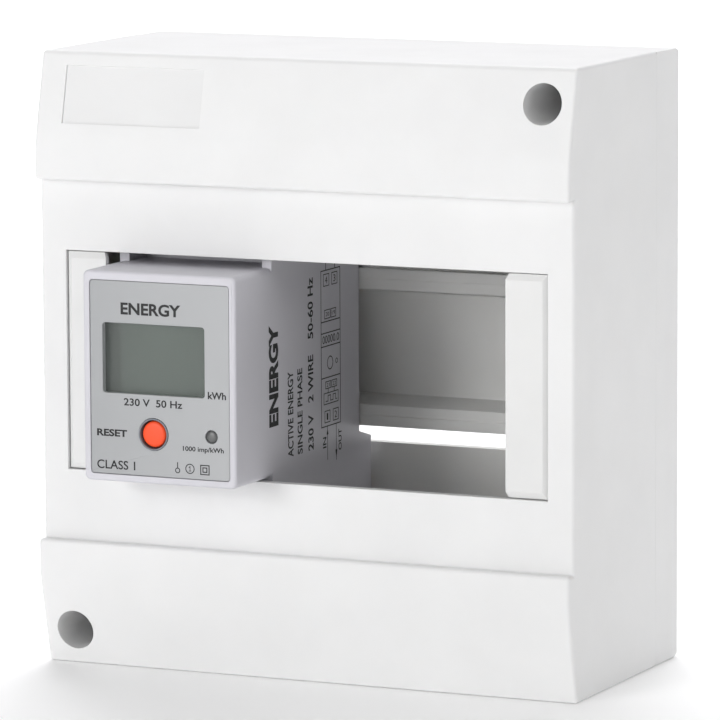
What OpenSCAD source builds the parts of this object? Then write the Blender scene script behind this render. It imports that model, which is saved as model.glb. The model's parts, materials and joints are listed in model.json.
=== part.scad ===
// Single-phase energy meter on a moulded rail inside a six-module surface box.
// Millimetres. X runs to the right, the front faces -Y, +Z is up, the box stands on its bottom face.

/* [Surface box] */
// Overall width of the box
box_width = 124; // [110:0.5:140]
// Overall height of the box
box_height = 133; // [120:0.5:150]
// Depth of the front cover behind its middle front face
cover_depth = 46; // [40:0.5:52]
// Depth of the base tray, gap to the cover included
base_depth = 14; // [11:0.5:18]
// Wall thickness of cover and base
wall = 2.2; // [1.6:0.1:3]
// Height of the top and bottom bands that stand proud of the middle
band_height = 27.5; // [22:0.5:32]
// How far the bands stand proud
band_proud = 2.7; // [1:0.1:4]
// How far the top and bottom front edges lean back from the band face
band_lean = 4.45; // [2:0.05:6]
// How much smaller the base tray is than the cover, each side
base_inset = 0.2; // [0.2:0.05:1]
// Thickness of the back plate of the base
back_plate = 2.5; // [2:0.1:4]
// Gap between cover and base
cover_gap = 0.3; // [0.2:0.05:0.6]

/* [Window and blanking strips] */
// Width of the module window
window_width = 112; // [94:0.5:116]
// Height of the module window
window_height = 47.6; // [46:0.1:49]
// Drop of the window centre below the box centre
window_drop = 0; // [0:0.1:2]
// Width of one blanking strip
strip_width = 9.3; // [8:0.05:9.4]
// Height of one blanking strip
strip_height = 47.1; // [45:0.1:47.4]
// Gap between a strip and the end of the window
strip_gap = 0.25; // [0.2:0.05:1.2]

/* [Cover screws] */
// Distance of a screw from the box centre, sideways
screw_x = 54.8; // [50:0.1:57]
// Distance of a screw from the box centre, up or down
screw_z = 59; // [55:0.1:61]
// Radius of the deep screw well
well_radius = 4.3; // [4:0.1:5]
// Radius of the screw shank
shank_radius = 1.95; // [1.5:0.05:2.2]

/* [Label recess] */
// Width of the shallow recess for a circuit label
label_width = 32.7; // [20:0.1:50]
// Height of the label recess
label_height = 12.5; // [8:0.1:15]

/* [Wall fixing] */
// Sideways spacing of the four wall fixing holes
wall_hole_spacing_x = 92; // [80:1:100]
// Vertical spacing of the four wall fixing holes
wall_hole_spacing_z = 108; // [96:1:116]
// Radius of a wall fixing hole
wall_hole_radius = 2.4; // [2:0.1:3]

/* [Moulded rail] */
// Height over both flanges
rail_height = 35; // [34.7:0.1:35.3]
// Width of one flange
flange_width = 4.7; // [4:0.1:5.5]
// Thickness of a flange
flange_thickness = 1.6; // [1.2:0.1:2]
// Distance of the flange front behind the middle cover face
rail_face = 49.1; // [47:0.1:50]
// Drop of the rail centre below the box centre
rail_drop = 0.9; // [0:0.1:2]

/* [Meter] */
// Width of the meter, two modules
meter_width = 35.9; // [35:0.1:36]
// Height of the nose that fills the window
nose_height = 45; // [44:0.1:45.2]
// How far the nose stands in front of the middle cover face
nose_reach = 13.7; // [10:0.1:18]
// Height of the meter body
body_height = 90; // [80:1:95]
// Position of the meter centre along the rail
meter_x = -27.05; // [-27.5:0.05:27]
// Wall thickness of the meter housing
meter_wall = 1.8; // [1.4:0.1:2.4]

/* [Meter front] */
// Width of the display opening
lcd_width = 24; // [20:0.1:26]
// Height of the display opening
lcd_height = 15; // [12:0.1:18]
// Sideways position of the display centre
lcd_x = -1.45; // [-4:0.05:4]
// Height of the display centre
lcd_z = 4; // [0:0.1:8]
// Radius of the reset button
button_radius = 2.8; // [2:0.1:3.5]
// Sideways position of the reset button
button_x = -1.55; // [-8:0.05:8]
// Height of the reset button
button_z = -11.9; // [-16:0.1:-8]
// Radius of the pulse lamp
lamp_radius = 1.4; // [1:0.1:2.5]
// Sideways position of the pulse lamp
lamp_x = 12.05; // [8:0.05:14]
// Height of the pulse lamp
lamp_z = -11.65; // [-16:0.05:-8]

/* [Terminals] */
// Distance of a terminal from the meter centre, sideways
terminal_x = 8.4; // [7:0.1:9]
// Distance of a terminal from the meter centre, up or down
terminal_z = 33; // [30:0.5:36]
// Travel of a clamp between open and closed
clamp_travel = 5.4; // [4:0.1:6]
// Radius of a wire entry
wire_radius = 3.6; // [2.5:0.1:3.6]

/* [Hidden] */
$fn = 48;
half_w = box_width / 2;
half_h = box_height / 2;
band_edge = half_h - band_height;
lean_back = band_lean - band_proud;
box_back = cover_depth + base_depth;
plate_front = box_back - back_plate;
front_y = -nose_reach;
shift_y = -(box_back + front_y) / 2;
half_m = meter_width / 2;
half_n = nose_height / 2;
half_b = body_height / 2;
half_rail = rail_height / 2;
rail_inner = half_rail - flange_width;
rail_gap = 0.3;
housing_back = rail_face - rail_gap;
lug_back = 55;
shoulder_y = 4;
well_floor_y = 12;
recess = 1.2;
front_inner = front_y + 2.5;
inner_x = half_m - meter_wall;
bar_y = 27;
head_y = 38.2;
clamp_front = 16.2 + clamp_travel;
strip_x = window_width / 2 - strip_gap - strip_width / 2;

// ---- helpers -------------------------------------------------------------

// Places box parts: origin under the box centre on its bottom face
module in_box() translate([0, shift_y, half_h]) children();

// Places meter parts: X and Z measured from the meter centre
module in_meter() translate([meter_x, shift_y, half_h - rail_drop]) children();

// Block given by its two opposite corners
module block(x0, x1, y0, y1, z0, z1) translate([x0, y0, z0]) cube([x1 - x0, y1 - y0, z1 - z0]);

// Round bar along Y
module rod_y(x, z, r, y0, y1) translate([x, y0, z]) rotate([-90, 0, 0]) cylinder(r = r, h = y1 - y0);

// Round bar along Z
module rod_z(x, y, r, z0, z1) translate([x, y, z0]) cylinder(r = r, h = z1 - z0);

// Bar along X with a side outline given as [y, z] points
module bar_x(outline, x0, x1)
  translate([x0, 0, 0]) rotate([90, 0, 90]) linear_extrude(x1 - x0) polygon(outline);

// Bar along Y with a front outline given as [x, z] points
module bar_y_outline(outline, y0, y1)
  translate([0, y1, 0]) rotate([90, 0, 0]) linear_extrude(y1 - y0) polygon(outline);

// Bar along Z with a plan outline given as [x, y] points
module bar_z(outline, z0, z1) translate([0, 0, z0]) linear_extrude(z1 - z0) polygon(outline);

// Block with rounded corners seen from the front
module rounded_block(x0, x1, y0, y1, z0, z1, r) {
  block(x0 + r, x1 - r, y0, y1, z0, z1);
  block(x0, x1, y0, y1, z0 + r, z1 - r);
  for (x = [x0 + r, x1 - r], z = [z0 + r, z1 - r]) rod_y(x, z, r, y0, y1);
}

// Upper half of the cover side outline, set in by t
function cover_upper(t) = [
  [cover_depth + (t > 0 ? 1 : 0), half_h - t],
  [lean_back + t, half_h - t],
  [-band_proud + 0.6 + t, band_edge + 10.4],
  [-band_proud + 0.2 + t, band_edge + 8],
  [-band_proud + t, band_edge + 5],
  [-band_proud + t, band_edge + t],
  [t, band_edge + t]];

// Whole cover side outline, lower half mirrored
function cover_outline(t) = concat(cover_upper(t),
  [for (i = [len(cover_upper(t)) - 1:-1:0]) [cover_upper(t)[i][0], -cover_upper(t)[i][1]]]);

// ---- surface box ---------------------------------------------------------

module enclosure_base() color([0.93, 0.93, 0.94]) in_box() {
  x1 = half_w - base_inset;
  z1 = half_h - base_inset;
  y0 = cover_depth + cover_gap;
  difference() {
    union() {
      // tray with rounded back edges
      intersection() {
        bar_x([[y0, -z1], [box_back - 2.2, -z1], [box_back - 0.65, -z1 + 0.65], [box_back, -z1 + 2.2],
               [box_back, z1 - 2.2], [box_back - 0.65, z1 - 0.65], [box_back - 2.2, z1], [y0, z1]], -x1, x1);
        bar_z([[-x1, y0], [-x1, box_back - 1], [-x1 + 0.3, box_back - 0.3], [-x1 + 1, box_back],
               [x1 - 1, box_back], [x1 - 0.3, box_back - 0.3], [x1, box_back - 1], [x1, y0]], -z1, z1);
      }
      // locating lip that enters the cover
      block(-half_w + 1.3, half_w - 1.3, cover_depth - 2.7, y0, -half_h + 1.3, half_h - 1.3);
    }
    block(-half_w + wall, half_w - wall, 0, plate_front, -half_h + wall, half_h - wall);
    // slots behind the rail flanges
    for (s = [-1, 1], span = [[-52, -31], [-29, 29], [31, 52]])
      block(span[0], span[1], plate_front - 1, box_back + 1,
            -rail_drop + (s < 0 ? -22.3 : 17.2), -rail_drop + (s < 0 ? -14.6 : 22.3));
    // wall fixing holes with countersinks on the inside
    for (sx = [-0.5, 0.5], sz = [-0.5, 0.5]) {
      rod_y(sx * wall_hole_spacing_x, sz * wall_hole_spacing_z, wall_hole_radius,
            plate_front - 1, box_back + 1);
      translate([sx * wall_hole_spacing_x, plate_front - 0.01, sz * wall_hole_spacing_z])
        rotate([-90, 0, 0]) cylinder(r1 = wall_hole_radius + 1.6, r2 = wall_hole_radius, h = 1.6);
    }
    // ring grooves of the cable knock-outs
    for (x = [-22, 22], z = [-46, 46]) difference() {
      rod_y(x, z, 10.5, box_back - 1.3, box_back + 1);
      rod_y(x, z, 9.8, box_back - 2, box_back + 2);
    }
  }
  // bosses for the two cover screws
  for (s = [-1, 1]) difference() {
    rod_y(s * screw_x, s * screw_z, 4.6, head_y + 3.1, plate_front + 0.5);
    rod_y(s * screw_x, s * screw_z, shank_radius + 0.1, head_y + 3, plate_front - 0.2);
  }
  // webs tying the bosses to the corners
  for (s = [-1, 1]) {
    block(s > 0 ? screw_x + 4 : -half_w + 1.6, s > 0 ? half_w - 1.6 : -screw_x - 4,
          cover_depth + 1, plate_front + 0.5, s * screw_z - 0.8, s * screw_z + 0.8);
  }
  // rail: two flanges on leaning channel walls
  for (s = [-1, 1]) translate([0, 0, -rail_drop]) mirror([0, 0, s > 0 ? 0 : 1]) {
    bar_x([[rail_face, rail_inner + 2.3], [rail_face, half_rail], [rail_face + flange_thickness, half_rail],
           [rail_face + flange_thickness, rail_inner + 1.6], [plate_front + 0.5, rail_inner + 0.1],
           [plate_front + 0.5, rail_inner - 1.5], [rail_face + 0.3, rail_inner], [rail_face + 0.3,
           rail_inner + 2.3]], -half_w + wall - 0.5, half_w - wall + 0.5);
  }
}

module front_cover() color([0.95, 0.95, 0.95]) in_box() difference() {
  union() {
    difference() {
      bar_x(cover_outline(0), -half_w, half_w);
      bar_x(cover_outline(wall), -half_w + wall, half_w - wall);
    }
    // wells for the two cover screws
    for (s = [-1, 1]) intersection() {
      rod_y(s * screw_x, s * screw_z, well_radius + 1.4, -band_proud, head_y + 2.6);
      bar_x(cover_outline(0.6), -half_w + 0.6, half_w - 0.6);
    }
    // webs between the wells and the side walls
    for (s = [-1, 1])
      block(s > 0 ? screw_x + 4.9 : -half_w + 1.6, s > 0 ? half_w - 1.6 : -screw_x - 4.9,
            3, head_y - 4, s * screw_z - 0.7, s * screw_z + 0.7);
    // frame stiffening the window edge from behind
    for (s = [-1, 1]) {
      z = s * window_height / 2 - window_drop;
      block(-window_width / 2 + 10, window_width / 2 - 10, wall - 0.2, wall + 1.3,
            min(z + s * 2.6, z + s * 3.8), max(z + s * 2.6, z + s * 3.8));
    }
  }
  // module window
  block(-window_width / 2, window_width / 2, -1, wall + 1,
        -window_height / 2 - window_drop, window_height / 2 - window_drop);
  // bores of the screw wells
  for (s = [-1, 1]) {
    rod_y(s * screw_x, s * screw_z, well_radius, -6, head_y + 0.3);
    rod_y(s * screw_x, s * screw_z, shank_radius + 0.1, 0, head_y + 4);
  }
  // shallow label recess on the leaning part of the top band
  translate([-55.8, lean_back, half_h]) rotate([-atan((band_lean - 0.6) / (band_height - 10.4)), 0, 0])
    translate([0, -1, -3.1 - label_height]) cube([label_width, 1.35, label_height]);
  // rebate that takes the lip of the base
  block(-half_w + 1, half_w - 1, cover_depth - 3, cover_depth + 1, -half_h + 1, half_h - 1);
}

module cover_screw(s) color([0.75, 0.75, 0.76]) in_box() difference() {
  union() {
    rod_y(s * screw_x, s * screw_z, 3.6, head_y - 2.5, head_y);
    rod_y(s * screw_x, s * screw_z, shank_radius, head_y - 0.2, plate_front - 1.5);
  }
  for (a = [0, 90]) translate([s * screw_x, head_y - 2.6, s * screw_z]) rotate([0, a + 20, 0])
    translate([-2.2, 0, -0.45]) cube([4.4, 1.6, 0.9]);
}
module cover_screw_upper() cover_screw(1);
module cover_screw_lower() cover_screw(-1);

// Snap-in blanking strip, chamfered corners on the side towards the modules
module blanking_strip(s) color([0.97, 0.97, 0.97]) in_box() translate([s * strip_x, 0, -window_drop])
  mirror([s > 0 ? 0 : 1, 0, 0]) {
    w = strip_width / 2;
    h = strip_height / 2;
    difference() {
      bar_y_outline([[-w + 0.6, -h], [w, -h], [w, h], [-w + 0.6, h], [-w, h - 1.2], [-w, -h + 1.2]], 0.05, 1.6);
      // bevels along the top, bottom and outer front edges
      for (m = [0, 1]) mirror([0, 0, m]) bar_x([[-0.5, h - 1.95], [0.05, h - 1.4], [0.75, h], [0.75, h + 1],
        [-0.5, h + 1]], -w - 1, w + 1);
      bar_z([[w - 0.95, 0.04], [w - 0.95, -1], [w + 1, -1], [w + 1, 0.7], [w, 0.7]], -h - 1, h + 1);
    }
    // snap legs reaching behind the cover wall
    for (m = [0, 1]) mirror([0, 0, m]) bar_x([[1.5, h - 1.6], [6, h - 1.6], [6, h - 0.6], [4.2, h + 1.3],
      [wall + 0.15, h + 1.3], [wall + 0.15, h - 0.3], [1.5, h - 0.3]], -2.6, 2.6);
  }
module blanking_strip_left() blanking_strip(-1);
module blanking_strip_right() blanking_strip(1);

// ---- meter housing -------------------------------------------------------

module meter_rear_housing() color([0.80, 0.79, 0.83]) in_meter() difference() {
  union() {
    bar_x([[shoulder_y, -half_b], [shoulder_y, half_b], [lug_back - 3, half_b], [lug_back, half_b - 3],
           [lug_back, half_rail - 2], [rail_face + flange_thickness + 0.5, half_rail - 2],
           [rail_face + flange_thickness + 0.5, half_rail + 0.4], [housing_back, half_rail + 0.4],
           [housing_back, -half_rail - 1.2], [lug_back, -half_rail - 2.9], [lug_back, -half_b + 3],
           [lug_back - 3, -half_b]], -half_m, half_m);
  }
  // electronics chamber
  block(-inner_x, inner_x, shoulder_y - 1, housing_back - meter_wall, -half_n + 1.5, half_n - 1.5);
  for (s = [-1, 1]) {
    zi = min(s * half_n, s * (half_b - meter_wall));
    zo = max(s * half_n, s * (half_b - meter_wall));
    // open well in front of the terminals, between the side cheeks
    block(-half_m + 2.2, half_m - 2.2, shoulder_y - 1, well_floor_y, min(s * half_n, s * (half_b + 1)),
          max(s * half_n, s * (half_b + 1)));
    for (m = [-1, 1]) {
      // terminal chamber, screwdriver hole and wire entry
      block(min(m * 0.8, m * inner_x), max(m * 0.8, m * inner_x), well_floor_y + 2,
            housing_back - meter_wall, zi, zo);
      rod_y(m * terminal_x, s * terminal_z, 3.9, well_floor_y - 1, well_floor_y + 3);
      rod_z(m * terminal_x, bar_y + 2.15 + wire_radius, wire_radius, min(s * (half_b - 3), s * (half_b + 1)),
            max(s * (half_b - 3), s * (half_b + 1)));
      // opening for the current bar
      block(m * terminal_x - 4.2, m * terminal_x + 4.2, bar_y - 0.2, bar_y + 2.2,
            min(s * (half_n - 2), s * (half_n + 1)), max(s * (half_n - 2), s * (half_n + 1)));
    }
  }
  // pockets that lighten the upper lug
  for (m = [-1, 1]) block(m * 8.6 - 7, m * 8.6 + 7, housing_back + 1, lug_back + 1, half_rail + 6, half_b - 5);
  // openings for the two pulse output pins
  for (m = [-1, 1]) rod_z(m * 2.54, 9.5, 0.5, -half_n - 1, -half_n + 3);
  // T-shaped guide for the rail clip
  block(-8.3, 8.3, 51, 52.9, -half_b - 1, -half_rail - 0.5);
  block(-6.3, 6.3, 51, lug_back + 1, -half_b - 1, -half_rail - 0.5);
}

module meter_front_housing() color([0.82, 0.81, 0.85]) in_meter() {
  difference() {
    rounded_block(-half_m, half_m, front_y, shoulder_y, -half_n, half_n, 1.3);
    block(-inner_x, inner_x, front_inner, shoulder_y + 1, -half_n + meter_wall, half_n - meter_wall);
    rounded_block(-16.4, 16.4, front_y - 1, front_y + recess, -20.95, 20.55, 0.8);
    block(lcd_x - lcd_width / 2 - 0.5, lcd_x + lcd_width / 2 + 0.5, front_y, front_inner + 1,
          lcd_z - lcd_height / 2 - 0.5, lcd_z + lcd_height / 2 + 0.5);
    rod_y(button_x, button_z, button_radius + 0.7, front_y, front_inner + 1);
    rod_y(lamp_x, lamp_z, lamp_radius + 0.05, front_y, front_inner + 1);
  }
  // tongue that plugs into the rear housing
  difference() {
    union() {
      block(-inner_x + 0.05, inner_x - 0.05, shoulder_y - 2, shoulder_y + 3.5, -half_n + 1.9, half_n - 1.9);
      block(-inner_x - 0.5, inner_x + 0.5, shoulder_y - 3, shoulder_y, -half_n + 1.2, half_n - 1.2);
    }
    block(-inner_x + 1.25, inner_x - 1.25, shoulder_y - 4, shoulder_y + 4, -half_n + 3.1, half_n - 3.1);
  }
}

module faceplate() color([0.70, 0.70, 0.71]) in_meter() difference() {
  rounded_block(-16.3, 16.3, front_y + 0.2, front_y + recess, -20.85, 20.45, 0.7);
  rounded_block(lcd_x - lcd_width / 2, lcd_x + lcd_width / 2, front_y - 1, front_y + 2,
                lcd_z - lcd_height / 2, lcd_z + lcd_height / 2, 0.7);
  rod_y(button_x, button_z, button_radius + 0.7, front_y - 1, front_y + 2);
  rod_y(lamp_x, lamp_z, lamp_radius + 0.05, front_y - 1, front_y + 2);
}

module display_lens() color([0.75, 0.80, 0.78, 0.4]) in_meter() {
  rounded_block(lcd_x - lcd_width / 2 + 0.05, lcd_x + lcd_width / 2 - 0.05, front_y + 0.5, front_y + recess + 0.3,
                lcd_z - lcd_height / 2 + 0.05, lcd_z + lcd_height / 2 - 0.05, 0.65);
  rounded_block(lcd_x - lcd_width / 2 - 0.4, lcd_x + lcd_width / 2 + 0.4, front_y + recess + 0.05,
                front_y + recess + 0.7, lcd_z - lcd_height / 2 - 0.4, lcd_z + lcd_height / 2 + 0.4, 0.4);
}

// ---- display and controls ------------------------------------------------

module lcd_panel() color([0.45, 0.49, 0.46]) in_meter() {
  block(lcd_x - 14, lcd_x + 14, front_inner + 0.1, front_inner + 1.2, lcd_z - 9.5, lcd_z + 9.5);
  block(lcd_x - 14, lcd_x + 14, front_inner + 1.2, front_inner + 2.3, lcd_z - 11, lcd_z + 11);
}

module lcd_holder() color([0.25, 0.26, 0.28]) in_meter() difference() {
  block(lcd_x - 14.6, lcd_x + 14.6, front_inner + 0.4, front_inner + 7.2, lcd_z - 12, lcd_z + 12);
  block(lcd_x - 14.05, lcd_x + 14.05, front_inner, front_inner + 2.4, lcd_z - 11.05, lcd_z + 11.05);
  block(lcd_x - 12.5, lcd_x + 12.5, front_inner + 2, front_inner + 8, lcd_z - 7.5, lcd_z + 7.5);
  for (s = [-1, 1]) block(lcd_x - 12.1, lcd_x + 12.1, front_inner + 2, front_inner + 8,
                          lcd_z + s * 9.6 - 1.05, lcd_z + s * 9.6 + 1.05);
}

module lcd_contact_strips() color([0.55, 0.35, 0.35]) in_meter() for (s = [-1, 1])
  block(lcd_x - 12, lcd_x + 12, front_inner + 2.3, front_inner + 7.2, lcd_z + s * 9.6 - 1, lcd_z + s * 9.6 + 1);

module reset_button() color([1.0, 0.36, 0.16]) in_meter() {
  rod_y(button_x, button_z, button_radius, front_y + 0.35, front_y + 5.4);
  rod_y(button_x, button_z, button_radius + 0.75, front_y + 3.6, front_y + 4.4);
}

module button_collar() color([0.62, 0.63, 0.65]) in_meter() difference() {
  union() {
    rod_y(button_x, button_z, button_radius + 0.65, front_y + 0.02, front_inner + 0.8);
    rod_y(button_x, button_z, button_radius + 1.1, front_inner + 0.02, front_inner + 0.8);
  }
  rod_y(button_x, button_z, button_radius + 0.3, front_y - 1, front_inner + 2);
}

module reset_switch_body() color([0.15, 0.15, 0.16]) in_meter() difference() {
  block(button_x - 3, button_x + 3, front_y + 6.4, front_inner + 7.2, button_z - 3, button_z + 3);
  rod_y(button_x, button_z, 1.75, front_y + 6, front_y + 8.6);
}

module reset_switch_plunger() color([0.85, 0.85, 0.85]) in_meter()
  rod_y(button_x, button_z, 1.45, front_y + 5.4, front_y + 7.6);

module pulse_lamp() color([0.55, 0.56, 0.58]) in_meter() {
  rod_y(lamp_x, lamp_z, lamp_radius, front_y + 0.3, front_inner + 3);
  rod_y(lamp_x, lamp_z, lamp_radius + 0.3, front_inner + 2.5, front_inner + 3.5);
  for (s = [-1, 1]) block(lamp_x + s * 1.27 - 0.25, lamp_x + s * 1.27 + 0.25, front_inner + 3.4,
                          front_inner + 7.2, lamp_z - 0.25, lamp_z + 0.25);
}

module display_board() color([0.10, 0.38, 0.22]) in_meter()
  block(-14.8, 14.8, front_inner + 7.2, front_inner + 8.8, -19.3, 19.3);

module controller_chip() color([0.08, 0.08, 0.09]) in_meter() {
  block(-5, 5, front_inner + 8.9, front_inner + 10.5, -6, 4);
  for (s = [-1, 1], i = [-4:4]) block(min(s * 4.9, s * 6.1), max(s * 4.9, s * 6.1), front_inner + 8.8,
                                      front_inner + 9.4, i - 1.2, i - 0.8);
}

module board_link_pins() color([0.85, 0.70, 0.35]) in_meter() for (i = [-2.5:1:2.5])
  block(i * 2.54 - 0.32, i * 2.54 + 0.32, front_inner + 8.8, 18, -17.6, -16.96);

// ---- power and metering board --------------------------------------------

module power_board() color([0.10, 0.36, 0.22]) in_meter() difference() {
  block(-15.8, 15.8, 18, 19.6, -20.5, 20.5);
  for (s = [-1, 1]) rod_y(s * 13.4, 18.2, 1.2, 17, 21);
}

module metering_chip() color([0.08, 0.08, 0.09]) in_meter() {
  block(-12, -6, 16.3, 17.9, -4, 6);
  for (s = [-1, 1], i = [-3:3]) block(-9 + min(s * 2.9, s * 4.1), -9 + max(s * 2.9, s * 4.1), 17.3, 18,
                                      i * 1.27 + 0.8, i * 1.27 + 1.2);
}

module timing_crystal() color([0.80, 0.80, 0.82]) in_meter() rounded_block(-14.5, -3.5, 14.6, 18, -10.5, -6.5, 1.9);

module mains_capacitor() color([0.85, 0.65, 0.15]) in_meter() block(-2, 14, 6, 18, 9, 17);

module smoothing_capacitor() color([0.12, 0.14, 0.30]) in_meter() {
  rod_y(9.6, 0.8, 4.6, 6.5, 17.4);
  for (s = [-1, 1]) rod_y(9.6 + s * 2, 0.8, 0.35, 17, 18);
}

module surge_varistor() color([0.16, 0.34, 0.62]) in_meter() {
  translate([-8, 11, 13.5]) rotate([0, 0, 90]) rod_y(0, 0, 4.6, -1.9, 1.9);
  for (s = [-1, 1]) rod_y(-8 + s * 0.9, 13.5 + s * 2.2, 0.35, 14.5, 18);
}

module pulse_optocoupler() color([0.10, 0.10, 0.11]) in_meter() {
  block(2, 8.4, 14.4, 17.8, -13, -8.4);
  for (s = [-1, 1], z = [-12, -9.5]) block(5.2 + min(s * 3.1, s * 3.9), 5.2 + max(s * 3.1, s * 3.9), 15.6, 18,
                                           z - 0.3, z + 0.3);
}

module sense_leads() color([0.80, 0.20, 0.18]) in_meter() {
  for (z = [-7.5, 7.5]) rod_y(-terminal_x, z, 0.5, 19.6, bar_y);
  rod_y(terminal_x, -7.5, 0.5, 19.6, bar_y);
}

// ---- current path --------------------------------------------------------

module live_bar_in() color([0.80, 0.50, 0.30]) in_meter()
  block(-terminal_x - 4, -terminal_x + 4, bar_y, bar_y + 2, -terminal_z - 5, -5);

module live_bar_out() color([0.80, 0.50, 0.30]) in_meter()
  block(-terminal_x - 4, -terminal_x + 4, bar_y, bar_y + 2, 5, terminal_z + 5);

module current_shunt() color([0.55, 0.50, 0.45]) in_meter()
  block(-terminal_x - 3.6, -terminal_x + 3.6, bar_y, bar_y + 2, -5, 5);

module neutral_bar() color([0.80, 0.52, 0.32]) in_meter()
  block(terminal_x - 4, terminal_x + 4, bar_y, bar_y + 2, -terminal_z - 5, terminal_z + 5);

// Rising clamp: the screw pulls it forward and pinches the wire against the bar
module clamp(sx, sz) color([0.78, 0.76, 0.70]) in_meter() translate([sx * terminal_x, 0, sz * terminal_z])
  difference() {
    block(-6.2, 6.2, clamp_front, 38.4, -5.5, 5.5);
    block(-4.6, 4.6, clamp_front + 2.8, 36.4, -6, 6);
    rod_y(0, 0, 2.6, clamp_front - 1.6, clamp_front + 3.4);
  }
module live_in_clamp() clamp(-1, -1);
module live_out_clamp() clamp(-1, 1);
module neutral_in_clamp() clamp(1, -1);
module neutral_out_clamp() clamp(1, 1);

// Terminal screw with a plain slot
module terminal_screw(sx, sz) color([0.82, 0.82, 0.84]) in_meter()
  translate([sx * terminal_x, 0, sz * terminal_z]) difference() {
    union() {
      rod_y(0, 0, 3.5, 12.4, 15.4);
      rod_y(0, 0, 2.5, 15.2, bar_y - 0.3);
    }
    block(-3.6, 3.6, 12.3, 13.7, -0.5, 0.5);
  }
module live_in_screw() terminal_screw(-1, -1);
module live_out_screw() terminal_screw(-1, 1);
module neutral_in_screw() terminal_screw(1, -1);
module neutral_out_screw() terminal_screw(1, 1);

// ---- pulse output --------------------------------------------------------

module pulse_terminal_block() color([0.15, 0.17, 0.16]) in_meter() difference() {
  block(-5.2, 5.2, 4.8, 11.9, -34, -24);
  for (s = [-1, 1]) {
    rod_y(s * 2.54, -28.5, 1.9, 4, 10.4);
    rod_z(s * 2.54, 8.9, 1.1, -35, -27);
  }
}
module pulse_terminal_screw(s) color([0.80, 0.80, 0.82]) in_meter() difference() {
  rod_y(s * 2.54, -28.5, 1.55, 5.4, 7.4);
  block(s * 2.54 - 1.6, s * 2.54 + 1.6, 5, 6.2, -28.75, -28.25);
}
module pulse_terminal_screw_left() pulse_terminal_screw(-1);
module pulse_terminal_screw_right() pulse_terminal_screw(1);

module pulse_terminal_pins() color([0.85, 0.70, 0.35]) in_meter() for (s = [-1, 1])
  rod_z(s * 2.54, 9.5, 0.4, -24, -20.4);

// ---- rail clip -----------------------------------------------------------

module rail_clip() color([0.20, 0.20, 0.22]) in_meter() {
  difference() {
    union() {
      block(-8, 8, 51.3, 52.6, -half_b + 0.5, -half_rail - 1.2);
      block(-6, 6, 51.3, 54.7, -half_b - 4, -half_rail + 2);
    }
    // driver slot in the tab and slit of the moulded spring
    block(-2.5, 2.5, 50, 56, -half_b - 3, -half_b - 1.4);
    block(-3.4, 3.4, 50, 56, -38, -36.8);
  }
}

enclosure_base();
front_cover();
cover_screw_upper();
cover_screw_lower();
blanking_strip_left();
blanking_strip_right();
meter_rear_housing();
meter_front_housing();
faceplate();
display_lens();
lcd_panel();
lcd_holder();
lcd_contact_strips();
reset_button();
button_collar();
reset_switch_body();
reset_switch_plunger();
pulse_lamp();
display_board();
controller_chip();
board_link_pins();
power_board();
metering_chip();
timing_crystal();
mains_capacitor();
smoothing_capacitor();
surge_varistor();
pulse_optocoupler();
sense_leads();
live_bar_in();
current_shunt();
live_bar_out();
neutral_bar();
live_in_clamp();
live_out_clamp();
neutral_in_clamp();
neutral_out_clamp();
live_in_screw();
live_out_screw();
neutral_in_screw();
neutral_out_screw();
pulse_terminal_block();
pulse_terminal_screw_left();
pulse_terminal_screw_right();
pulse_terminal_pins();
rail_clip();
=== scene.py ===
import bpy, bmesh, json, math
import numpy as np
from mathutils import Matrix, Vector

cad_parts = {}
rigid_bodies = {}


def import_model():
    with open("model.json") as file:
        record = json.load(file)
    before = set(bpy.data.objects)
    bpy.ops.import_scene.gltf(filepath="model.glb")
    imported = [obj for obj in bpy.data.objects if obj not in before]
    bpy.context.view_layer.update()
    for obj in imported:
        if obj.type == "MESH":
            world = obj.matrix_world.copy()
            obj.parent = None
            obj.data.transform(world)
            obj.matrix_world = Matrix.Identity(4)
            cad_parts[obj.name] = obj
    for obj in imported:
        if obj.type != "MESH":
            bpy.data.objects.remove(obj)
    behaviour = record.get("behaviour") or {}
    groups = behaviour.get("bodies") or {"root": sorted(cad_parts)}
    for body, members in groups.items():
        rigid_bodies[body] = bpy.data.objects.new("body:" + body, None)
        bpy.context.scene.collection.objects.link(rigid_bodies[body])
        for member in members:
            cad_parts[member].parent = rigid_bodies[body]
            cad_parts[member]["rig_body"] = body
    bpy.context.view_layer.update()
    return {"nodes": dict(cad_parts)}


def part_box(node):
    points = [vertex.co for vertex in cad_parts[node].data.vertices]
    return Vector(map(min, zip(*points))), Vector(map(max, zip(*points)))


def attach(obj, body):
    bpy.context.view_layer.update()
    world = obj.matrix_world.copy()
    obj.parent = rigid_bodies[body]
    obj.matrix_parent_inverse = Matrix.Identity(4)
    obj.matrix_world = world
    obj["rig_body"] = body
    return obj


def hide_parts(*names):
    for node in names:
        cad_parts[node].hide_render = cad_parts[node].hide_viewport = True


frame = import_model()
nodes = frame["nodes"]
MM = 0.001

# ---- places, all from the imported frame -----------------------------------
cover_lo, cover_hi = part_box("front_cover")
base_lo, base_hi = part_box("enclosure_base")
nose_lo, nose_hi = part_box("meter_front_housing")
plate_lo, plate_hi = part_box("faceplate")
MID_X = (cover_lo.x + cover_hi.x) / 2
MID_Z = (cover_lo.z + cover_hi.z) / 2
BAND_OUT = 2.7                      # how far the two bands stand out from the middle face
FACE_Y = cover_lo.y + BAND_OUT * MM # middle front face of the cover
NOSE_X = (nose_lo.x + nose_hi.x) / 2
NOSE_Z = (nose_lo.z + nose_hi.z) / 2
NOSE_Y = nose_lo.y
NOSE_R = nose_hi.x                  # right side face of the meter


def at_box(x, y, z):
    """Box millimetres (centre of the front face) to the row frame."""
    return Vector((MID_X + x * MM, FACE_Y + y * MM, MID_Z + z * MM))


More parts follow.
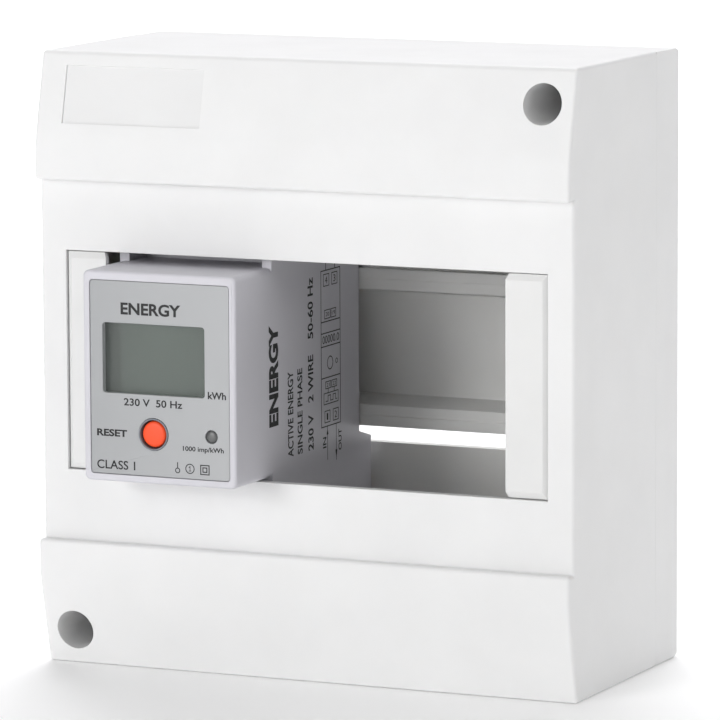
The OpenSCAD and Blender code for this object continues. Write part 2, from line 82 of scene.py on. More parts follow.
# ---- camera ----------------------------------------------------------------
def add_camera():
    cam = bpy.data.cameras.new("camera")
    cam.sensor_width = 36.0
    cam.lens = 282.7
    cam.clip_start, cam.clip_end = 0.05, 60
    ob = bpy.data.objects.new("camera", cam)
    bpy.context.scene.collection.objects.link(ob)
    yaw, pitch, roll = (math.radians(a) for a in (24.582, 7.954, -0.265))
    fwd = Vector((-math.sin(yaw) * math.cos(pitch), math.cos(yaw) * math.cos(pitch), -math.sin(pitch)))
    right = Vector((math.cos(yaw), math.sin(yaw), 0))
    up = right.cross(fwd)
    r = right * math.cos(roll) + up * math.sin(roll)
    u = -right * math.sin(roll) + up * math.cos(roll)
    m = Matrix((r, u, -fwd)).transposed().to_4x4()
    m.translation = at_box(502.734, -1069.893, 168.029)
    ob.matrix_world = m
    bpy.context.scene.camera = ob


add_camera()

# ---- material helpers --------------------------------------------------------
def new_material(name):
    m = bpy.data.materials.new(name)
    m.use_nodes = True
    m.node_tree.nodes.clear()
    out = m.node_tree.nodes.new("ShaderNodeOutputMaterial")
    bsdf = m.node_tree.nodes.new("ShaderNodeBsdfPrincipled")
    m.node_tree.links.new(bsdf.outputs[0], out.inputs[0])
    return m, m.node_tree, bsdf


def ramp(tree, source, stops):
    r = tree.nodes.new("ShaderNodeValToRGB")
    e = r.color_ramp.elements
    while len(e) < len(stops):
        e.new(0.5)
    for el, (pos, col) in zip(e, stops):
        el.position = pos
        el.color = (*col, 1) if len(col) == 3 else col
    tree.links.new(source, r.inputs[0])
    return r.outputs[0]


def coords(tree, scale=(1, 1, 1)):
    tc = tree.nodes.new("ShaderNodeTexCoord")
    mp = tree.nodes.new("ShaderNodeMapping")
    mp.inputs["Scale"].default_value = scale
    tree.links.new(tc.outputs["Object"], mp.inputs[0])
    return mp.outputs[0]


def noise(tree, vec, scale, detail=3.0, rough=0.55):
    n = tree.nodes.new("ShaderNodeTexNoise")
    n.inputs["Scale"].default_value = scale
    n.inputs["Detail"].default_value = detail
    n.inputs["Roughness"].default_value = rough
    tree.links.new(vec, n.inputs["Vector"])
    return n.outputs["Fac"]


def bump(tree, bsdf, height, distance, strength=1.0, under=None):
    b = tree.nodes.new("ShaderNodeBump")
    b.inputs["Distance"].default_value = distance
    b.inputs["Strength"].default_value = strength
    tree.links.new(height, b.inputs["Height"])
    if under is not None:
        tree.links.new(under, b.inputs["Normal"])
    tree.links.new(b.outputs[0], bsdf.inputs["Normal"])
    return b.outputs[0]


def tint(c, k):
    return tuple(min(1.0, v * k) for v in c)


def plastic(name, color, rough=0.42, grain=2600, depth=0.000012, vary=0.02, specular=0.5, coat=0.0,
            subsurface=0.0, blotch=45):
    """Moulded plastic: spark-eroded grain, faint flow marks in the colour, roughness that wanders."""
    m, t, b = new_material(name)
    v = coords(t)
    cloud = noise(t, v, blotch, 3)
    fine = noise(t, v, grain, 4, 0.65)
    col = ramp(t, cloud, [(0.3, tint(color, 1 - vary)), (0.7, tint(color, 1 + vary))])
    t.links.new(col, b.inputs["Base Color"])
    rr = ramp(t, noise(t, v, blotch * 3, 4), [(0.25, (rough - 0.05,) * 3), (0.75, (rough + 0.06,) * 3)])
    t.links.new(rr, b.inputs["Roughness"])
    b.inputs["Specular IOR Level"].default_value = specular
    b.inputs["Coat Weight"].default_value = coat
    b.inputs["Coat Roughness"].default_value = 0.25
    if subsurface:
        b.inputs["Subsurface Weight"].default_value = subsurface
        b.inputs["Subsurface Radius"].default_value = (0.003, 0.0028, 0.0026)
        b.inputs["Subsurface Scale"].default_value = 0.6
    wide = bump(t, b, noise(t, v, 160, 2), 0.00003)
    bump(t, b, fine, depth, under=wide)
    return m


def metal(name, color, rough=0.3, lines=(1, 1, 1), grain=900, depth=0.000006, stain=0.25):
    m, t, b = new_material(name)
    v = coords(t, lines)
    n = noise(t, v, grain, 4)
    cloud = noise(t, coords(t), 220, 3)
    t.links.new(ramp(t, cloud, [(0.35, tint(color, 1 - stain)), (0.65, color)]), b.inputs["Base Color"])
    t.links.new(ramp(t, n, [(0.3, (rough - 0.07,) * 3), (0.7, (rough + 0.12,) * 3)]), b.inputs["Roughness"])
    b.inputs["Metallic"].default_value = 1.0
    bump(t, b, n, depth)
    return m


def ink(name, color, rough=0.5):
    """Pad-printed ink: slightly uneven density."""
    m, t, b = new_material(name)
    v = coords(t)
    t.links.new(ramp(t, noise(t, v, 1800, 3), [(0.3, tint(color, 0.8)), (0.75, tint(color, 1.5))]),
                b.inputs["Base Color"])
    t.links.new(ramp(t, noise(t, v, 900, 2), [(0.3, (rough - 0.06,) * 3), (0.7, (rough + 0.08,) * 3)]),
                b.inputs["Roughness"])
    return m


ABS = plastic("abs_white", (0.81, 0.81, 0.81), 0.50, specular=0.3, subsurface=0.12)
# darker, warmer copy of the white ABS for the tray's inside faces: painted shade for the shade inside the box
ABS_BASE_PAINTED_SHADE = plastic("abs_white_base_painted_shade", (0.75, 0.75, 0.735), 0.52, specular=0.3, subsurface=0.12)
ABS_STRIP = plastic("abs_strip", (0.765, 0.765, 0.76), 0.42, grain=3200, specular=0.35, subsurface=0.1)
ABS_FIELD = plastic("abs_label_field", (0.765, 0.765, 0.765), 0.40, grain=5200, depth=0.000004,
                    vary=0.01, specular=0.3, subsurface=0.12)
HOUSING = plastic("meter_housing", (0.62, 0.612, 0.655), 0.42, grain=2200, specular=0.4)
COLLAR = plastic("collar_grey", (0.20, 0.21, 0.235), 0.45, specular=0.35)
ORANGE = plastic("button_orange", (0.98, 0.088, 0.022), 0.42, grain=3000, vary=0.04, specular=0.35,
                 subsurface=0.06)
DARK = plastic("dark_nylon", (0.035, 0.036, 0.04), 0.5)
BLACK_IC = plastic("chip_epoxy", (0.02, 0.02, 0.022), 0.55, grain=5000)
LAMP = plastic("lamp_lens", (0.115, 0.118, 0.118), 0.3, grain=1500, coat=0.15)
PLUNGER = plastic("plunger_white", (0.75, 0.75, 0.73), 0.4)
RUBBER = plastic("contact_rubber", (0.36, 0.17, 0.18), 0.7)
YELLOW = plastic("film_capacitor", (0.72, 0.42, 0.03), 0.35, coat=0.2)
SLEEVE = plastic("capacitor_sleeve", (0.02, 0.028, 0.09), 0.25, coat=0.4)
BLUE = plastic("varistor_epoxy", (0.02, 0.075, 0.30), 0.28, coat=0.4)
REDWIRE = plastic("lead_insulation", (0.55, 0.02, 0.02), 0.35)
BLOCK = plastic("pulse_block", (0.02, 0.05, 0.035), 0.45)
STEEL = metal("zinc_steel", (0.62, 0.62, 0.60), 0.32)
COPPER = metal("tinned_copper", (0.80, 0.44, 0.27), 0.28, lines=(1, 1, 0.08), grain=1400)
SHUNT = metal("shunt_alloy", (0.42, 0.33, 0.27), 0.34, lines=(1, 1, 0.1), grain=1400)
GOLD = metal("gold_pin", (0.85, 0.62, 0.26), 0.25)
CAN = metal("crystal_can", (0.72, 0.72, 0.73), 0.22, lines=(0.1, 1, 1))
INK = ink("print_black", (0.008, 0.008, 0.009), 0.6)


def board_material():
    m, t, b = new_material("circuit_board")
    v = coords(t)
    br = t.nodes.new("ShaderNodeTexBrick")
    for k, x in (("Scale", 190.0), ("Mortar Size", 0.035), ("Bias", -0.4), ("Brick Width", 0.9),
                 ("Row Height", 0.22)):
        br.inputs[k].default_value = x
    br.inputs["Color1"].default_value = (0.012, 0.12, 0.05, 1)
    br.inputs["Color2"].default_value = (0.015, 0.15, 0.065, 1)
    br.inputs["Mortar"].default_value = (0.035, 0.27, 0.12, 1)
    rot = t.nodes.new("ShaderNodeMapping")
    rot.inputs["Rotation"].default_value = (math.radians(90), 0, 0)
    t.links.new(v, rot.inputs[0])
    t.links.new(rot.outputs[0], br.inputs["Vector"])
    t.links.new(br.outputs["Color"], b.inputs["Base Color"])
    t.links.new(ramp(t, noise(t, v, 900, 3), [(0.3, (0.22,) * 3), (0.7, (0.4,) * 3)]), b.inputs["Roughness"])
    b.inputs["Coat Weight"].default_value = 0.3
    bump(t, b, br.outputs["Fac"], 0.00003)
    return m


def along(t, axis, lo, hi):
    """0 to 1 along an axis of the row frame."""
    sep = t.nodes.new("ShaderNodeSeparateXYZ")
    t.links.new(coords(t), sep.inputs[0])
    mr = t.nodes.new("ShaderNodeMapRange")
    mr.inputs["From Min"].default_value = lo
    mr.inputs["From Max"].default_value = hi
    t.links.new(sep.outputs[axis], mr.inputs["Value"])
    return mr.outputs[0]


def wobble(t, base, n, amount):
    add = t.nodes.new("ShaderNodeMath")
    add.operation = "MULTIPLY_ADD"
    add.inputs[1].default_value = amount
    t.links.new(n, add.inputs[0])
    t.links.new(base, add.inputs[2])
    return add.outputs[0]


def faceplate_material():
    """Silver-grey film with a painted sheen: a reflection painted into its colour makes it a little lighter
    towards its right edge.
    """
    m = plastic("faceplate_film_painted_sheen", (0.4, 0.4, 0.4), 0.46, grain=6000, depth=0.000005, coat=0.12)
    t = m.node_tree
    b = next(n for n in t.nodes if n.type == "BSDF_PRINCIPLED")
    x = wobble(t, along(t, "X", plate_lo.x, plate_hi.x), noise(t, coords(t), 45, 2), 0.12)
    # painted sheen: the film's colour is lightened from left to right to stand in for a reflection
    silver_and_painted_sheen = [(0.1, (0.365, 0.373, 0.383)), (0.5, (0.395, 0.403, 0.413)), (1.0, (0.42, 0.428, 0.438))]
    t.links.new(ramp(t, x, silver_and_painted_sheen), b.inputs["Base Color"])
    return m


def lcd_material():
    """Unpowered reflective cell: grey-green, with a painted shadow of the window edge darkening its left
    edge.
    """
    m, t, b = new_material("lcd_cell_painted_shadow")
    lo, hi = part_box("display_lens")
    x = along(t, "X", lo.x, hi.x)
    v = coords(t)
    x = wobble(t, x, noise(t, v, 90, 2), 0.03)
    # the dark stops at the left end are a painted shadow, not the cell's own colour
    cell = [(0.05, (0.020, 0.022, 0.021)), (0.13, (0.028, 0.031, 0.029)), (0.18, (0.064, 0.078, 0.068)),
            (0.55, (0.076, 0.095, 0.082)), (1.0, (0.072, 0.089, 0.077))]
    t.links.new(ramp(t, x, cell), b.inputs["Base Color"])
    t.links.new(ramp(t, noise(t, v, 600, 2), [(0.3, (0.34,) * 3), (0.7, (0.40,) * 3)]), b.inputs["Roughness"])
    b.inputs["Specular IOR Level"].default_value = 0.35
    return m


def lens_material():
    """Clear window: a thin sheen over what lies behind it."""
    m, t, b = new_material("clear_window")
    v = coords(t)
    t.links.new(ramp(t, noise(t, v, 300, 3), [(0.3, (0.40, 0.45, 0.42)), (0.7, (0.42, 0.47, 0.44))]),
                b.inputs["Base Color"])
    t.links.new(ramp(t, noise(t, v, 500, 3), [(0.3, (0.10,) * 3), (0.7, (0.16,) * 3)]), b.inputs["Roughness"])
    b.inputs["Alpha"].default_value = 0.1
    return m


BOARD, LCD, LENS, PLATE = board_material(), lcd_material(), lens_material(), faceplate_material()


# ---- mesh helpers --------------------------------------------------------------
def set_material(ob, mat):
    ob.data.materials.clear()
    ob.data.materials.append(mat)


def link(ob):
    bpy.context.scene.collection.objects.link(ob)
    return ob


def finish_shading(ob, angle=32):
    """Smooth faces, sharp edges by angle, normals weighted by face area."""
    bm = bmesh.new()
    bm.from_mesh(ob.data)
    for f in bm.faces:
        f.smooth = True
    for e in bm.edges:
        e.smooth = len(e.link_faces) == 2 and e.calc_face_angle(0) < math.radians(angle)
    bm.to_mesh(ob.data)
    bm.free()
    mod = ob.modifiers.new("weighted", "WEIGHTED_NORMAL")
    mod.keep_sharp = True
    mod.weight = 90


def refined(name, rounds, mat, body=None, angle=20, second=None):
    """A copy of a CAD node with its faces merged and chosen edges rounded.
    rounds is a list of (radius mm, segments, test(edge, mid, a, b)) taken in order. second is
    (material, test(middle mm, normal)) for the faces that differ. The copy stands for the node."""
    src = nodes[name]
    me = src.data.copy()
    me.materials.clear()
    for m in [mat] + ([second[0]] if second else []):
        me.materials.append(m)
    if "custom_normal" in me.attributes:
        me.attributes.remove(me.attributes["custom_normal"])
    bm = bmesh.new()
    bm.from_mesh(me)
    bmesh.ops.remove_doubles(bm, verts=bm.verts, dist=2e-6)
    bmesh.ops.dissolve_limit(bm, angle_limit=math.radians(0.6), verts=bm.verts, edges=bm.edges)
    for radius, segments, test in rounds:
        chosen = []
        for e in bm.edges:
            if len(e.link_faces) != 2 or e.calc_face_angle(0) < math.radians(angle):
                continue
            a, b = (to_mm(v.co) for v in e.verts)
            if test(e, (a + b) / 2, a, b):
                chosen.append(e)
        if chosen:
            bmesh.ops.bevel(bm, geom=chosen, offset=radius * MM, offset_type="OFFSET", segments=segments,
                            profile=0.5, affect="EDGES", clamp_overlap=True, loop_slide=True)
    bmesh.ops.recalc_face_normals(bm, faces=bm.faces)
    for f in bm.faces:
        f.material_index = 1 if second and second[1](to_mm(f.calc_center_median()), f.normal) else 0
    bm.to_mesh(me)
    bm.free()
    ob = link(bpy.data.objects.new(name + "_body", me))
    finish_shading(ob)
    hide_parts(name)
    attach(ob, body or src["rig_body"])
    return ob


def to_mm(co):
    """Row frame to box millimetres, centre of the front face."""
    return Vector(((co.x - MID_X) / MM, (co.y - FACE_Y) / MM, (co.z - MID_Z) / MM))


def near(a, b, t=0.06):
    return abs(a - b) < t


# ---- surface box ------------------------------------------------------------------
HW = (cover_hi.x - cover_lo.x) / 2 / MM
HH = (cover_hi.z - cover_lo.z) / 2 / MM
BASE_W = (base_hi.x - base_lo.x) / 2 / MM
BASE_H = (base_hi.z - base_lo.z) / 2 / MM
BACK = (base_hi.y - FACE_Y) / MM
SEAM = 46                           # rear edge of the cover, where the tray begins 0.3 mm behind
WELL_X, WELL_Z, WELL_R = 54.8, 59, 4.3
SLOPE_Z, SLOPE_Y, SLOPE = 66.5, 1.75, 0.2252    # upper band: its face starts here and comes forward
                                                # by SLOPE for every millimetre further down


def convex(e):
    return e.is_convex


def cover_outer(e, m, a, b):
    if not convex(e) or m.y > SEAM - 1:
        return False
    side = near(abs(a.x), HW) and near(abs(b.x), HW) and a.x * b.x > 0
    long_x = near(a.y, b.y) and near(a.z, b.z) and near(abs(m.x), 0, HW - 5 if abs(a.x - b.x) > 20 else 0) \
        and (near(m.z, HH) or near(m.z, -HH) or (near(m.y, -BAND_OUT) and near(abs(m.z), 39)))
    return side or long_x


def window_edge(e, m, a, b):
    inside = abs(m.x) < 56.2 and -24.3 < m.z < 23.9
    return convex(e) and near(a.y, 0) and near(b.y, 0) and inside


def well_rim(e, m, a, b):
    for s in (1, -1):
        ra = math.hypot(a.x - s * WELL_X, a.z - s * WELL_Z)
        rb = math.hypot(b.x - s * WELL_X, b.z - s * WELL_Z)
        if near(ra, WELL_R, 0.2) and near(rb, WELL_R, 0.2) and m.y < 6 and abs(a.y - b.y) < 1.2:
            return True
    return False


def back_rim(e, m, a, b):
    outer = near(max(abs(m.x) / HW, abs(m.z) / HH), 1, 0.004)
    return convex(e) and near(a.y, SEAM) and near(b.y, SEAM) and outer


def in_label(q):
    return -55.85 < q.x < -23.05 and 50.5 < q.z < 63.9


def off_band(q):
    """How far a point lies behind the leaning face of the upper band, in millimetres."""
    return q.y - SLOPE_Y + (SLOPE_Z - q.z) * SLOPE


def label_field(q, n):
    return in_label(q) and n.y < -0.9 and off_band(q) > 0.18


def label_rim(e, m, a, b):
    return convex(e) and in_label(a) and in_label(b) and m.y < 2 and abs(off_band(a)) < 0.08 \
        and abs(off_band(b)) < 0.08


refined("front_cover", [(0.8, 4, cover_outer), (0.12, 2, window_edge), (0.4, 3, well_rim),
                        (0.25, 2, back_rim), (0.07, 2, label_rim)], ABS,
        second=(ABS_FIELD, label_field))


def base_outside(q, n):
    return near(abs(q.x), BASE_W, 0.6) or near(abs(q.z), BASE_H, 0.8) or q.y > BACK - 0.8


def base_side(e, m, a, b):
    same_side = near(abs(a.x), BASE_W) and near(abs(b.x), BASE_W) and a.x * b.x > 0
    return convex(e) and m.y > 46.2 and same_side and near(abs(m.z), BASE_H, 0.5)


def base_front(e, m, a, b):
    rim = near(abs(m.x), BASE_W) or near(abs(m.z), BASE_H)
    return convex(e) and near(a.y, 46.3) and near(b.y, 46.3) and rim


def rail_flange(e, m, a, b):
    return convex(e) and abs(a.x - b.x) > 30 and 49 < m.y < 51 and 11 < abs(m.z + 0.9) < 18


# the tray's inside faces get the darker copy, a painted shade; the outer faces picked by base_outside keep
# the plain white ABS
refined("enclosure_base", [(0.5, 3, base_side), (0.25, 2, base_front), (0.35, 2, rail_flange)],
        ABS_BASE_PAINTED_SHADE, second=(ABS, base_outside))
for side in ("left", "right"):
    refined("blanking_strip_" + side, [(0.18, 2, lambda e, m, a, b: convex(e) and m.y < 1.65)], ABS_STRIP)

# ---- meter ------------------------------------------------------------------------
def meter_mm(co):
    return Vector(((co.x - NOSE_X) / MM, (co.y - FACE_Y) / MM, (co.z - NOSE_Z) / MM))


FRONT = (NOSE_Y - FACE_Y) / MM


def nose_front(e, m, a, b):
    q = meter_mm(at_box(*m))
    outer = abs(q.x) > 17.0 or abs(q.z) > 21.6
    return convex(e) and near(a.y, FRONT, 0.02) and near(b.y, FRONT, 0.02) and outer


def nose_inner(e, m, a, b):
    q = meter_mm(at_box(*m))
    inner = abs(q.x) < 16.6 and -21.2 < q.z < 20.8
    return convex(e) and near(a.y, FRONT, 0.02) and near(b.y, FRONT, 0.02) and inner


def rear_front(e, m, a, b):
    return convex(e) and near(a.y, 4, 0.02) and near(b.y, 4, 0.02) and abs(meter_mm(at_box(*m)).z) > 22.6


def rear_back(e, m, a, b):
    side = near(abs(meter_mm(at_box(*m)).x), 17.95, 0.1)
    return convex(e) and m.y > 48 and abs(a.x - b.x) < 0.1 and side


refined("meter_front_housing", [(0.9, 4, nose_front), (0.2, 2, nose_inner)], HOUSING)
refined("meter_rear_housing", [(0.35, 2, rear_front), (0.4, 2, rear_back)], HOUSING)
refined("faceplate", [(0.12, 2, lambda e, m, a, b: convex(e) and m.y < FRONT + 0.5)], PLATE)


def lathe(bm, profile, x, z, segments=72):
    """Turned shape about a line along Y; profile is (radius, y) in box millimetres, from axis to axis."""
    rings = []
    for r, y in profile:
        if r == 0:
            rings.append([bm.verts.new(at_box(x, y, z))])
        else:
            turns = [k * math.tau / segments for k in range(segments)]
            rings.append([bm.verts.new(at_box(x + r * math.cos(t), y, z + r * math.sin(t))) for t in turns])
    for p, q in zip(rings, rings[1:]):
        for k in range(segments):
            n = (k + 1) % segments
            if len(p) == 1:
                bm.faces.new((p[0], q[k], q[n]))
            elif len(q) == 1:
                bm.faces.new((p[k], q[0], p[n]))
            else:
                bm.faces.new((p[k], q[k], q[n], p[n]))


def brick(bm, x0, x1, y0, y1, z0, z1):
    c = [bm.verts.new(at_box(x, y, z)) for x in (x0, x1) for y in (y0, y1) for z in (z0, z1)]
    for f in ((0, 1, 3, 2), (4, 6, 7, 5), (0, 4, 5, 1), (2, 3, 7, 6), (0, 2, 6, 4), (1, 5, 7, 3)):
        bm.faces.new([c[k] for k in f])


def finish(name, bm, mat, body, replaces=None, angle=32):
    bmesh.ops.recalc_face_normals(bm, faces=bm.faces)
    me = bpy.data.meshes.new(name)
    bm.to_mesh(me)
    bm.free()
    ob = link(bpy.data.objects.new(name, me))
    set_material(ob, mat)
    finish_shading(ob, angle)
    if replaces:
        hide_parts(replaces)
    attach(ob, body)
    return ob


def middle(name):
    lo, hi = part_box(name)
    return to_mm((lo + hi) / 2)


# reset button with a slightly crowned top, and the pulse lamp with its domed end
c = middle("button_collar")
bm = bmesh.new()
lathe(bm, [(0, -13.43), (0.9, -13.42), (1.7, -13.385), (2.25, -13.32), (2.52, -13.22), (2.68, -13.08),
           (2.77, -12.88), (2.8, -12.6), (2.8, -10.1), (3.55, -10.1), (3.55, -9.3), (2.8, -9.3),
           (2.8, -8.3), (0, -8.3)], c.x, c.z)
finish("reset_button_cap", bm, ORANGE, "reset_key", "reset_button")
c = middle("pulse_lamp")
bm = bmesh.new()
lathe(bm, [(0, -13.43), (0.45, -13.41), (0.85, -13.34), (1.12, -13.22), (1.3, -13.05), (1.38, -12.82),
           (1.4, -12.5), (1.4, -8.7), (1.7, -8.7), (1.7, -7.7), (0, -7.7)], c.x, c.z, 48)
for k in (-1, 1):
    brick(bm, c.x + k * 1.27 - 0.25, c.x + k * 1.27 + 0.25, -7.72, -4.0, c.z - 0.25, c.z + 0.25)
finish("pulse_lamp_lens", bm, LAMP, "meter", "pulse_lamp")


def every_edge(e, m, a, b):
    return convex(e)


SHARP = 50          # least angle of an edge that is rounded on the small parts
SOFT = {  # node: (radius mm, segments, material, slot)
    "cover_screw_upper": (0.25, 2, STEEL, "plated_steel"),
    "cover_screw_lower": (0.25, 2, STEEL, "plated_steel"),
    "button_collar": (0.12, 3, COLLAR, "collar_grey"),
    "lcd_holder": (0.2, 2, DARK, "dark_plastic"),
    "reset_switch_body": (0.25, 2, DARK, "dark_plastic"),
    "controller_chip": (0.08, 2, BLACK_IC, "dark_plastic"),
    "metering_chip": (0.08, 2, BLACK_IC, "dark_plastic"),
    "mains_capacitor": (0.5, 3, YELLOW, "capacitor_yellow"),
    "smoothing_capacitor": (0.5, 4, SLEEVE, "capacitor_sleeve"),
    "surge_varistor": (1.2, 5, BLUE, "varistor_blue"),
    "pulse_optocoupler": (0.12, 2, BLACK_IC, "dark_plastic"),
    "timing_crystal": (0.5, 3, CAN, "crystal_can"),
    "live_bar_in": (0.2, 2, COPPER, "copper"),
    "current_shunt": (0.1, 2, SHUNT, "shunt_alloy"),
    "live_bar_out": (0.2, 2, COPPER, "copper"),
    "neutral_bar": (0.2, 2, COPPER, "copper"),
    "pulse_terminal_block": (0.2, 2, BLOCK, "block_green"),
    "rail_clip": (0.25, 2, DARK, "clip_black"),
    "pulse_terminal_screw_left": (0.12, 2, STEEL, "plated_steel"),
    "pulse_terminal_screw_right": (0.12, 2, STEEL, "plated_steel"),
    **{f"{c}_{k}": (r, 2, STEEL, "plated_steel") for c in ("live_in", "live_out", "neutral_in", "neutral_out")
       for k, r in (("clamp", 0.35), ("screw", 0.25))}}
for n, (r, seg, mat, slot) in SOFT.items():
    refined(n, [(r, seg, every_edge)], mat, angle=SHARP)

for n, mat in {"display_lens": LENS, "lcd_panel": LCD, "lcd_contact_strips": RUBBER,
               "reset_switch_plunger": PLUNGER, "display_board": BOARD, "board_link_pins": GOLD,
               "power_board": BOARD, "sense_leads": REDWIRE, "pulse_terminal_pins": GOLD}.items():
    set_material(nodes[n], mat)


# ---- printing ---------------------------------------------------------------------------
INK_MM = 0.02


def glyphs(bm, text, u0, u1, v0, v1, put, weight=0.0):
    """Lettering fitted into a rectangle; put(u, v, d) gives a point d above the surface."""
    cu = bpy.data.curves.new("lettering", "FONT")
    cu.body = text
    cu.offset = weight
    cu.extrude = 0.5
    cu.resolution_u = 4
    ob = link(bpy.data.objects.new("lettering", cu))
    me = bpy.data.meshes.new_from_object(ob.evaluated_get(bpy.context.evaluated_depsgraph_get()))
    bpy.data.objects.remove(ob)
    bpy.data.curves.remove(cu)
    co = np.empty(len(me.vertices) * 3)
    me.vertices.foreach_get("co", co)
    co = co.reshape(-1, 3)
    lo, hi = co.min(0), co.max(0)
    start = len(bm.verts)
    vs = []
    for x, y, z in co:
        u = u0 + (u1 - u0) * (x - lo[0]) / (hi[0] - lo[0])
        v = v0 + (v1 - v0) * (y - lo[1]) / (hi[1] - lo[1])
        vs.append(bm.verts.new(put(u, v, INK_MM if z > 0 else -INK_MM)))
    for f in me.polygons:
        try:
            bm.faces.new([vs[k] for k in f.vertices])
        except ValueError:
            pass
    bpy.data.meshes.remove(me)


def ribbon(bm, pts, put, width=0.2, closed=False):
    """A printed line of even width with mitred corners."""
    pts = [Vector(p) for p in pts]
    n = len(pts)
    rows = []
    for k, p in enumerate(pts):
        d1 = (p - pts[k - 1]).normalized() if closed or k else None
        d2 = (pts[(k + 1) % n] - p).normalized() if closed or k < n - 1 else None
        d1, d2 = d1 or d2, d2 or d1
        n1, n2 = Vector((-d1.y, d1.x)), Vector((-d2.y, d2.x))
        nn = (n1 + n2).normalized()
        off = nn * (width / 2 / max(0.35, nn.dot(n1)))
        rows.append([bm.verts.new(put(*q, d)) for q in (p + off, p - off) for d in (INK_MM, -INK_MM)])
    for k in range(n if closed else n - 1):
        (a, a2, b, b2), (c, c2, e, e2) = rows[k], rows[(k + 1) % n]
        for f in ((a, c, e, b), (a2, b2, e2, c2), (a, a2, c2, c), (b, e, e2, b2)):
            bm.faces.new(f)
    if not closed:
        for a, a2, b, b2 in (rows[0], rows[-1]):
            bm.faces.new((a, b, b2, a2))


def patch(bm, pts, put):
    """A filled printed shape."""
    top = [bm.verts.new(put(*p, INK_MM)) for p in pts]
    low = [bm.verts.new(put(*p, -INK_MM)) for p in pts]
    bm.faces.new(top)
    bm.faces.new(low[::-1])
    for k in range(len(pts)):
        n = (k + 1) % len(pts)
        bm.faces.new((top[k], low[k], low[n], top[n]))


def ring_points(u, v, r, n=32):
    return [(u + r * math.cos(k * math.tau / n), v + r * math.sin(k * math.tau / n)) for k in range(n)]


def frame_points(u0, u1, v0, v1):
    return [(u0, v0), (u1, v0), (u1, v1), (u0, v1)]


def print_layer(name, bm):
    bmesh.ops.remove_doubles(bm, verts=bm.verts, dist=1.5e-6)
    return finish(name, bm, INK, "meter", angle=30)


plate_y = (plate_lo.y - FACE_Y) / MM


def on_plate(u, v, d):
    return at_box(u, plate_y - d, v)


bm = bmesh.new()
for text, u0, u1, v0, v1, weight in (
        ("ENERGY", -36.1, -22.0, 12.45, 15.05, 0.03), ("230 V  50 Hz", -35.55, -21.75, -6.95, -5.35, 0.018),
        ("kWh", -15.75, -11.5, -4.5, -2.95, 0.025), ("RESET", -42.0, -34.85, -13.75, -12.2, 0.035),
        ("1000 imp/kWh", -21.7, -12.1, -16.15, -14.8, 0.022),
        ("CLASS 1", -42.05, -33.0, -20.75, -18.85, 0.012)):
    glyphs(bm, text, u0, u1, v0, v1, on_plate, weight)
ribbon(bm, ring_points(-22.98, -20.12, 0.5), on_plate, 0.2, True)
ribbon(bm, [(-22.98, -19.62), (-22.98, -18.35)], on_plate, 0.2)
ribbon(bm, ring_points(-20.08, -19.6, 0.98), on_plate, 0.2, True)
ribbon(bm, [(-20.36, -19.36), (-20.06, -19.12), (-20.06, -20.0)], on_plate, 0.15)
ribbon(bm, [(-20.36, -20.08), (-19.78, -20.08)], on_plate, 0.14)
for h in (0.98, 0.46):
    ribbon(bm, frame_points(-16.57 - h, -16.57 + h, -19.66 - h, -19.66 + h), on_plate, 0.22, True)
print_layer("faceplate_printing", bm)

side_mm = (NOSE_R - MID_X) / MM


def up_side(u, v, d):
    """Reads from the bottom to the top of the right side: u along +Z, v towards the front."""
    return at_box(side_mm + d, v * -1, u)


def on_side(u, v, d):
    """Upright on the right side: u towards the back, v up."""
    return at_box(side_mm + d, u, v)


bm = bmesh.new()
for text, z0, z1, y0, y1, weight in (
        ("ENERGY", -12.5, 9.4, 2.45, 7.1, 0.045), ("ACTIVE ENERGY", -20.3, -1.75, 11.75, 14.5, 0.02),
        ("SINGLE PHASE", -20.3, -1.7, 16.6, 19.1, 0.02), ("230 V   2 WIRE", -20.3, 0.5, 22.0, 24.7, 0.02),
        ("50-60 Hz", 4.0, 17.3, 21.95, 24.7, 0.02), ("IN", -20.8, -18.4, 29.5, 31.2, 0.015),
        ("OUT", -22.3, -17.6, 37.5, 39.1, 0.015)):
    glyphs(bm, text, z0, z1, -y1, -y0, up_side, weight)
LINE = 0.24
ribbon(bm, frame_points(28.8, 38.6, -16.15, 18.0), on_side, LINE, True)
for u in (31.3, 35.9):
    ribbon(bm, [(u, 18.12), (u, 24.0)], on_side, LINE)
for z in (6.8, 4.3, 1.4, -5.5):
    ribbon(bm, [(28.92, z), (38.48, z)], on_side, LINE)
for u0, u1, v0, v1 in ((30.1, 32.95, 14.6, 17.15), (34.35, 37.15, 14.6, 17.15), (30.6, 33.5, 7.45, 9.3),
                       (33.9, 36.4, 7.45, 9.3), (31.0, 33.6, -7.9, -6.4), (34.1, 36.7, -7.9, -6.4),
                       (30.1, 37.45, -11.3, -8.9), (30.5, 33.2, -15.3, -12.8), (34.8, 37.5, -15.3, -12.8)):
    ribbon(bm, frame_points(u0, u1, v0, v1), on_side, 0.2, True)
for text, u0, u1, v0, v1 in (("4", 31.0, 32.1, 15.1, 16.65), ("3", 35.2, 36.3, 15.1, 16.65),
                             ("00000.0", 29.5, 38.0, 2.0, 3.75), ("1", 31.5, 32.2, -14.8, -13.3),
                             ("2", 35.6, 36.7, -14.8, -13.3), ("20", 31.2, 32.9, 7.9, 8.85),
                             ("19", 34.4, 36.0, 7.9, 8.85), ("21", 31.5, 33.1, -7.55, -6.75),
                             ("22", 34.6, 36.3, -7.55, -6.75)):
    glyphs(bm, text, u0, u1, v0, v1, on_side)
ribbon(bm, [(31.0, -10.7), (32.2, -10.7), (32.2, -9.5), (33.5, -9.5), (33.5, -10.7), (34.8, -10.7),
            (34.8, -9.5), (36.1, -9.5), (36.1, -10.7), (36.8, -10.7)], on_side, 0.2)
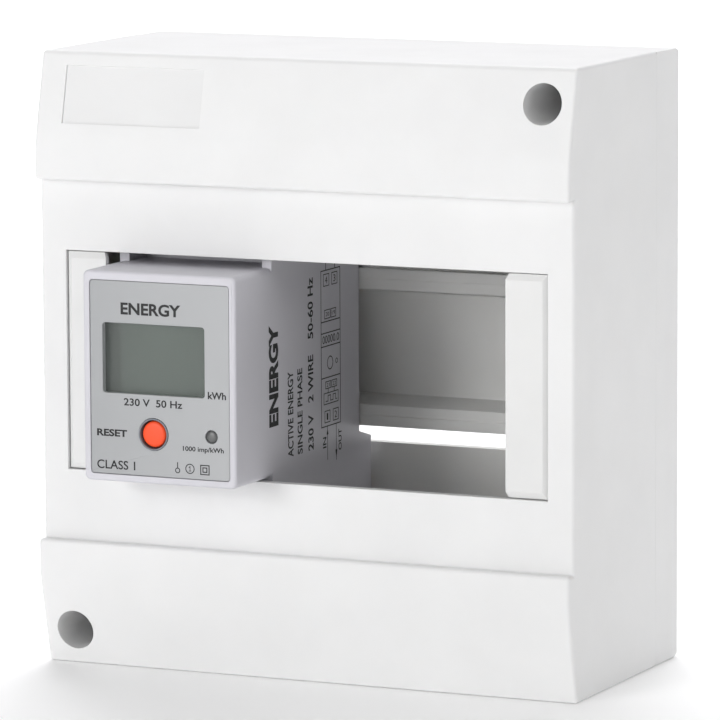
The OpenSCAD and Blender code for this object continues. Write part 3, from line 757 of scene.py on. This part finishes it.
for u in (32.3, 35.4):
    ribbon(bm, [(u, -8.0), (u, -8.8)], on_side, 0.2)
ribbon(bm, ring_points(33.35, -2.4, 1.4, 40), on_side, LINE, True)
ribbon(bm, ring_points(36.7, -2.35, 0.5, 24), on_side, 0.2, True)
ribbon(bm, [(31.85, -16.27), (31.85, -23.6)], on_side, 0.2)
ribbon(bm, [(36.35, -16.27), (36.35, -24.2)], on_side, 0.2)
patch(bm, [(31.4, -18.0), (32.3, -18.0), (31.85, -16.6)], on_side)
patch(bm, [(35.9, -21.9), (36.35, -24.0), (36.8, -21.9)], on_side)
print_layer("housing_side_printing", bm)

# ---- floor, light ---------------------------------------------------------------------
def add_stage():
    me = bpy.data.meshes.new("floor")
    s = 9.0
    me.from_pydata([(-s, -s, 0), (s, -s, 0), (s, s, 0), (-s, s, 0)], [], [(0, 1, 2, 3)])
    floor = link(bpy.data.objects.new("floor", me))
    floor.location.z = -0.00005
    m, t, b = new_material("pale_floor")
    b.inputs["Base Color"].default_value = (0.93, 0.93, 0.93, 1)
    b.inputs["Roughness"].default_value = 0.6
    b.inputs["Emission Color"].default_value = (1, 1, 1, 1)
    b.inputs["Emission Strength"].default_value = 0.1
    me.materials.append(m)


def area(name, loc, target, size, power, color=(1, 1, 1)):
    L = bpy.data.lights.new(name, "AREA")
    L.shape = "RECTANGLE"
    L.size, L.size_y = size
    L.energy = power
    L.color = color
    ob = link(bpy.data.objects.new(name, L))
    ob.location = loc
    ob.rotation_euler = (Vector(target) - Vector(loc)).to_track_quat("-Z", "Y").to_euler()


add_stage()
SUBJECT, BEHIND = (0, 0, 0.06), (-0.5, 1.4, 0)
area("front_left", (-0.85, -2.0, 0.5), SUBJECT, (0.9, 0.9), 13.2)
area("front_low", (-0.4, -2.2, 0.4), SUBJECT, (0.8, 0.8), 7.5)
area("front_left_high", (-0.9, -1.9, 1.0), SUBJECT, (0.9, 0.9), 7.2)
area("front_right_high", (1.2, -1.6, 1.6), SUBJECT, (1.2, 1.2), 6.4)
area("right", (2.0, -0.6, 0.7), SUBJECT, (1.2, 1.4), 5.8)
area("right_back", (1.8, 0.9, 0.9), SUBJECT, (1.4, 1.4), 9.0)
area("top", (0.1, 0.2, 1.9), SUBJECT, (1.6, 1.6), 11.3)
area("back", (-0.6, 1.6, 1.6), BEHIND, (1.6, 1.6), 48.0, (0.985, 0.98, 1.0))
w = bpy.data.worlds.new("studio")
w.use_nodes = True
w.node_tree.nodes["Background"].inputs[0].default_value = (1, 1, 1, 1)
w.node_tree.nodes["Background"].inputs[1].default_value = 0.05
bpy.context.scene.world = w
bpy.context.scene.view_settings.view_transform = "Standard"
